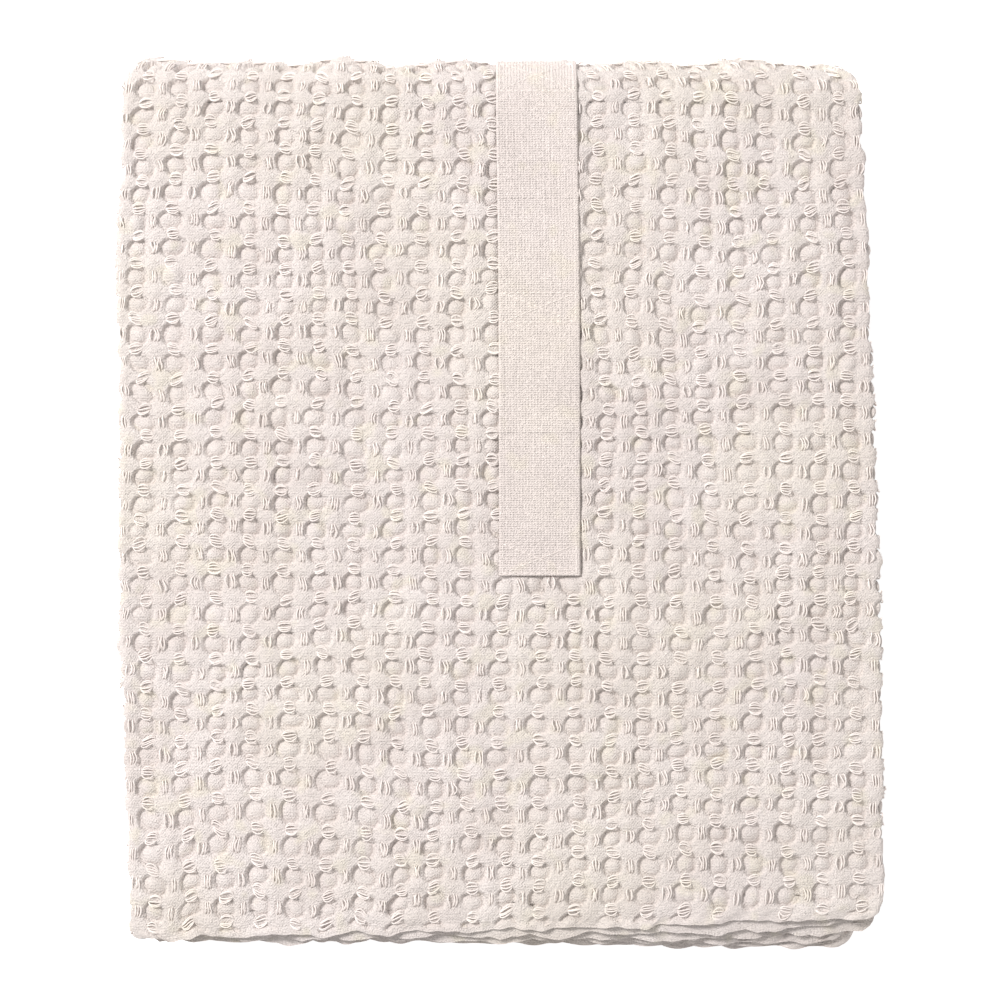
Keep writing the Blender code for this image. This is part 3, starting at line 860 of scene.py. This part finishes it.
def weft_eyes(run, most, points):
    """Eye-shaped groups of loose weft threads: paths in u, v and height."""
    u, v, i, j = crossings(run, 0.0, 0.5)
    pick = np.random.default_rng(51)
    t = np.linspace(-1, 1, points)
    arch = np.clip(1 - t * t, 0, 1)
    paths = []
    for a, b, p, q in zip(u, v, i, j):
        many = int(pick.integers(max(3, most - 1), most + 1))
        a, b = a + pick.normal(0, 0.25 * MM), b + pick.normal(0, 0.22 * MM)
        reach = 3.4 * MM * pick.uniform(0.88, 1.1)
        spread = 2.15 * MM * pick.uniform(0.82, 1.12)
        parted = 0.5 if pick.random() < 0.55 else 0.95
        tilt, lean, sway = pick.normal(0, 0.1), pick.normal(0, 0.15), pick.normal(0, 0.25 * MM)
        low = base_height(run, np.array(a), np.array(b)) - 0.5 * MM * on_fold(a)
        for s in np.linspace(-1, 1, many):
            s = np.clip(s + pick.normal(0, 0.09), -1.1, 1.1)
            side = np.sign(s) * abs(s) ** parted * spread * arch ** 0.7 + 0.35 * MM * s
            side = side + sway * np.sin(2.5 * t)
            along = reach * t * (1 - 0.12 * abs(s)) + lean * side
            lift = weft_lift[p, q] * pick.uniform(0.8, 1.1)
            bump = (0.1 * abs(s) + pick.normal(0, 0.1)) * arch
            height = low + (-1.05 + 1.05 * lift * arch ** 0.55 + bump) * MM
            paths.append(np.stack([a + along, b + side + tilt * along, height], -1))
    return np.array(paths)


def warp_floats(run, most, points):
    """Short loose warp threads, side by side."""
    u, v, i, j = crossings(run, 0.5, 0.0)
    pick = np.random.default_rng(52)
    t = np.linspace(-1, 1, points)
    arch = np.clip(1 - t * t, 0, 1)
    paths = []
    for a, b, p, q in zip(u, v, i, j):
        many = int(pick.integers(2, most + 1))
        reach = 3.1 * MM * pick.uniform(0.9, 1.12)
        bulge = pick.choice([-1.0, 0.0, 1.0, 1.0]) * pick.uniform(0.4, 0.9) * MM
        same = pick.random() < 0.45
        low = base_height(run, np.array(a), np.array(b)) - 0.5 * MM * on_fold(a)
        for k in range(many):
            s = k - (many - 1) / 2
            way = 1 if same else (np.sign(s) if s else 1)
            side = s * 1.15 * MM + way * bulge * arch
            side = side + pick.normal(0, 0.2 * MM) * np.sin(3.0 * t + pick.uniform(0, 6))
            along = reach * t * pick.uniform(0.85, 1.05) + pick.normal(0, 0.25 * MM)
            lift = warp_lift[p, q] * pick.uniform(0.8, 1.1)
            height = low + (-0.9 + 1.5 * lift * arch ** 0.45) * MM
            paths.append(np.stack([a + side, b + along, height], -1))
    return np.array(paths)


THREAD = 0.29 * MM


def loose_threads(name, run, maker, most, points, body, sides, **hinge):
    """One run's loose threads of one kind, as one piece of small tubes."""
    paths = maker(run, most, points)
    here, facing = on_cloth(run, paths[..., 0], paths[..., 1], paths[..., 2])
    # the loose threads take the lighter cotton, a painted highlight
    made = tubes(name, here, facing, THREAD, loose_cotton, sides)
    return dress(made, body, "waffle_cotton", **hinge)


# %% Threads of every run that shows
FINEST = dict(points=7, sides=5)
COARSER = dict(points=5, sides=4)
for run, body, most, detail, hinge in (
        ("front_outer", "front_half", 5, FINEST, {}), ("top_fold", "back_half", 5, FINEST, HINGE),
        ("back_outer", "back_half", 4, COARSER, {}), ("first_fold", "back_half", 4, COARSER, {}),
        ("back_inner", "back_half", 4, COARSER, {}), ("front_inner", "front_half", 4, COARSER, {})):
    weft = loose_threads(run + "_loose_weft", run, weft_eyes, most, body=body, **detail, **hinge)
    warp = loose_threads(run + "_loose_warp", run, warp_floats, 3, body=body, **detail, **hinge)

# %% [markdown]
# ## The tape
# A flat cotton tape, 35 mm wide, with fine ribs across it and faint lines along it. It
# bends over the top fold and is free between its seams. Each free length is made of two
# halves, from each seam to the middle.

# %% Tape geometry
TAPE_Z = tape_low.z
TAPE_THICK = tape_high.z - tape_low.z
RIB = 1.0 * MM


def tape_point(x, v, height):
    """A point of the tape: x across, v along as for the front cloth, height over its middle plane."""
    level = TAPE_Z + TAPE_THICK / 2 - STACK - TAPE_SINK
    dip = -0.35 * MM * seam_share(v, 5 * MM, 0.5 * MM) + 0.12 * MM * waves(x, v, 61, 45 * MM)
    out = level + dip + height
    angle = np.clip(v - FLAT_FRONT, 0, None) / FOLD_Z
    y = np.where(v < FLAT_FRONT, OUTER_END + v, FOLD_Y) + (FOLD_Z + out) * np.sin(angle)
    z = FOLD_Z + (FOLD_Z + out) * np.cos(angle)
    drift = 0.25 * MM * waves(v, 0 * v, 62, 160 * MM) + TAPE_SHIFT - 1.1 * MM * smooth(0.26, 0.37, v)
    return np.stack([TAPE_X + x + drift, y, z], -1)


def tape_piece(name, low_v, high_v):
    """A closed length of tape with ribs on both sides."""
    half = TAPE_HALF - 0.1 * MM
    x_line = np.linspace(-half, half, 72)
    v_line = lines(low_v, high_v, RIB / 4)
    x, v = np.meshgrid(x_line, v_line)
    rib = np.abs(np.sin(math.pi * (v + 0.08 * MM * waves(x, v * 0.2, 63, 30 * MM)) / RIB))
    edge = smooth(half, half - 0.8 * MM, np.abs(x))
    cord = 0.07 * MM * waves(x * 6, 0.15 * v, 64, 11 * MM) * smooth(-0.6, 0.8, waves(x, v, 65, 30 * MM))
    thick = (TAPE_THICK / 2 - 0.22 * MM) * (0.45 + 0.55 * edge) + (0.26 * MM * rib + cord) * edge
    selvedge = 0.10 * MM * smooth(half - 2.2 * MM, half - 1.0 * MM, np.abs(x))
    top = tape_point(x, v, thick + selvedge * edge)
    bottom = tape_point(x, v, -thick)
    rows, columns = x.shape
    top_id = np.arange(x.size).reshape(rows, columns)
    low_id = top_id + x.size
    loop_top = np.concatenate([top_id, low_id[:, ::-1]], 1)
    after = np.roll(loop_top, -1, axis=1)
    quads = np.stack([loop_top[:-1], after[:-1], after[1:], loop_top[1:]], -1)
    ends = [loop_top[0][::-1], loop_top[-1]]
    corners = np.concatenate([quads.ravel(), *ends])
    sizes = np.concatenate([np.full(quads.size // 4, 4), [len(e) for e in ends]])
    around = np.arange(2 * columns)
    place_x = np.stack([around, around + 1, around + 1, around], -1)[None] / (2 * columns)
    place_y = (np.arange(rows - 1)[:, None, None] + np.array([0, 0, 1, 1])) / (rows - 1)
    plot = pairs(0.01 + 0.98 * np.broadcast_to(place_x, quads.shape),
                 0.03 + 0.94 * np.broadcast_to(place_y, quads.shape))
    end_x = 0.01 + 0.98 * around / (2 * columns)
    end_plot = np.concatenate([pairs(end_x, y + 0.005 * (around % 2)) for y in (0.005, 0.985)])
    weave = np.zeros((2 * x.size, 2))
    weave[loop_top.ravel()] = pairs(np.concatenate([x, x[:, ::-1]], 1), np.concatenate([v, v], 1)) / CM
    return mesh_object(name, np.concatenate([top.reshape(-1, 3), bottom.reshape(-1, 3)]), corners, sizes,
                       tape_cotton, weave[corners], np.concatenate([plot, end_plot]))


# %% Cut the tape into its lengths
def reach_v(node):
    """Where a node of the flat tape starts and ends along the cloth."""
    low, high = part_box(node)
    return low.y - OUTER_END, high.y - OUTER_END


def halfway(first, second):
    return (first + second) / 2


lower_v, middle_v, upper_v = reach_v("tape_lower_loop"), reach_v("tape_middle"), reach_v("tape_upper_loop")
v_cuts = [TAPE_END_V, halfway(reach_v("tape_bottom_end")[1], lower_v[0]),
          halfway(lower_v[1], middle_v[0]), halfway(middle_v[1], upper_v[0]),
          halfway(upper_v[1], FLAT_FRONT - 2 * MM), OVER_TOP]
bottom_end, middle_end, top_end = [
    dress(tape_piece(name, v_cuts[k], v_cuts[k + 1]), body, "tape_cotton", node, **hinge)
    for name, k, body, node, hinge in (
        ("tape_sewn_end", 0, "front_half", "tape_bottom_end", {}),
        ("tape_sewn_middle", 2, "front_half", "tape_middle", {}),
        ("tape_over_top", 4, "back_half", "tape_top_end", HINGE))]
for loop, low_v, high_v in (("lower_loop", v_cuts[1], v_cuts[2]), ("upper_loop", v_cuts[3], v_cuts[4])):
    half_v = (low_v + high_v) / 2
    for part, a, b, seam_v in (("low", low_v, half_v, low_v), ("high", half_v, high_v, high_v)):
        piece = tape_piece("tape_" + loop + "_" + part, a, b)
        nodes = ["tape_" + loop] if part == "low" else []
        dress(piece, "front_half", "tape_cotton", *nodes, other=loop,
                           start=(0, OUTER_END + seam_v, 0), end=(0, OUTER_END + half_v, 0))

# %% [markdown]
# ## Sewn seams
# Each seam is a box of stitches with a cross in it, in thread of the tape's own colour.
# A stitch is a short tube that starts and ends inside the tape and lies over it between.

# %% Stitches
def stitched(name, lines_of_stitches, locate, radius, pitch, visible):
    """Stitches along straight lines, each line a pair of ends in the plane that locate maps."""
    paths, facings = [], []
    t = np.linspace(-1, 1, 7)
    for (x0, v0), (x1, v1) in lines_of_stitches:
        length = math.hypot(x1 - x0, v1 - v0)
        many = max(1, int(round(length / pitch)))
        for k in range(many):
            middle = (k + 0.5) / many
            share = middle + t * visible / 2 / length
            height = radius * 0.8 * (1 - np.abs(t) ** 3) - 0.25 * MM * np.abs(t) ** 3
            x, v = x0 + (x1 - x0) * share, v0 + (v1 - v0) * share
            here = locate(x, v, height)
            paths.append(here)
            facings.append(unit(locate(x, v, height + 0.5 * MM) - here))
    return tubes(name, np.array(paths), np.array(facings), radius, sewing_thread, 6)


def box_and_cross(low_v, high_v, half_x):
    """The six lines of a sewn box with a cross in it."""
    left, right = -half_x, half_x
    return [((left, low_v), (right, low_v)), ((left, high_v), (right, high_v)),
            ((left, low_v), (left, high_v)), ((right, low_v), (right, high_v)),
            ((left, low_v), (right, high_v)), ((left, high_v), (right, low_v))]


def on_tape(x, v, height):
    """A point over the tape's upper side."""
    return tape_point(x, v, TAPE_THICK / 2 - 0.12 * MM + height)


half_box = (middle_high.x - middle_low.x) / 2 - 0.25 * MM
for name, (low_v, high_v), body, hinge in zip(
        ("middle", "bottom", "top"), SEAM_V, ("front_half", "front_half", "back_half"), ({}, {}, HINGE)):
    box_lines = box_and_cross(low_v, high_v, half_box)
    made = stitched(name + "_seam_thread", box_lines, on_tape, 0.25 * MM, 2.8 * MM, 2.4 * MM)
    dress(made, body, "sewing_thread", name + "_seam", **hinge)


# %% Hem stitches
def hem_line(run, first_u, last_u, v, node):
    """A line of small stitches across a hem, on the side of the strip that looks up."""
    def on_hem(u, along, height):
        return place(run, u, along, base_height(run, u, along) - 0.5 * MM + height)

    made = stitched(node + "_line", [((first_u, v), (last_u, v))], on_hem, 0.2 * MM, 3.0 * MM, 2.2 * MM)
    return dress(made, "front_half", "sewing_thread", node)


outer_line = hem_line("front_outer", FACE_LEFT + 8 * MM, FACE_RIGHT - 8 * MM, 2.2 * MM,
                      "outer_hem_stitches")
inner_line = hem_line("front_inner", FOLD_LEFT_U - 8 * MM, LAST_LEFT_U + 12 * MM, travelled - 6.0 * MM,
                      "inner_hem_stitches")

# %% [markdown]
# ## The size of the cloth
# Together the lengths are one cloth of about 1.0 by 1.5 metres.

# %% [markdown]
# ## Floor, light and camera
# A wide white floor, a soft lamp high at the upper left, a weak wide one at the right, and
# a pale sky that fills the shadows. The camera looks straight down through a long lens.

# %% The studio
floor_mesh = bpy.data.meshes.new("floor")
FLOOR = 40.0
floor_mesh.from_pydata([(-FLOOR, -FLOOR, 0), (FLOOR, -FLOOR, 0), (FLOOR, FLOOR, 0), (-FLOOR, FLOOR, 0)], [],
                       [(0, 1, 2, 3)])
floor = bpy.data.objects.new("floor", floor_mesh)
floor.location.z = -1.2 * MM
bpy.context.scene.collection.objects.link(floor)
floor_paint = bpy.data.materials.new("floor_paint")
floor_paint.use_nodes = True
paint = next(n for n in floor_paint.node_tree.nodes if n.type == "BSDF_PRINCIPLED")
paint.inputs["Base Color"].default_value = (0.97, 0.97, 0.97, 1)
paint.inputs["Emission Color"].default_value = (1, 1, 1, 1)
paint.inputs["Emission Strength"].default_value = 0.42
paint.inputs["Roughness"].default_value = 0.9
floor_mesh.materials.append(floor_paint)


def lamp(name, place_at, target, size, power):
    """A square area lamp, in metres and watts, turned towards a point."""
    light = bpy.data.lights.new(name, "AREA")
    light.size = size
    light.energy = power
    made = bpy.data.objects.new(name, light)
    made.location = place_at
    bpy.context.scene.collection.objects.link(made)
    way = [t - p for t, p in zip(target, place_at)]
    made.rotation_euler = Vector(way).to_track_quat("-Z", "Y").to_euler()
    return made


lamp("key", (-1.33, 0.93, 1.85), (0, 0, 0), 0.55, 63)
lamp("soft_fill", (0.9, -0.5, 1.9), (0, 0, 0), 1.6, 6)
world = bpy.data.worlds.new("sky")
world.use_nodes = True
sky = next(n for n in world.node_tree.nodes if n.type == "BACKGROUND")
sky.inputs["Color"].default_value = (1, 1, 1, 1)
sky.inputs["Strength"].default_value = 0.65
bpy.context.scene.world = world
bpy.context.scene.view_settings.view_transform = "Standard"

# %% The camera
lens = bpy.data.cameras.new("camera")
lens.lens = 85
VIEW_WIDTH = 0.4265
camera = bpy.data.objects.new("camera", lens)
camera.location = (0.6 * MM, 0.75 * MM, STACK + VIEW_WIDTH * lens.lens / lens.sensor_width)
bpy.context.scene.collection.objects.link(camera)
bpy.context.scene.camera = camera
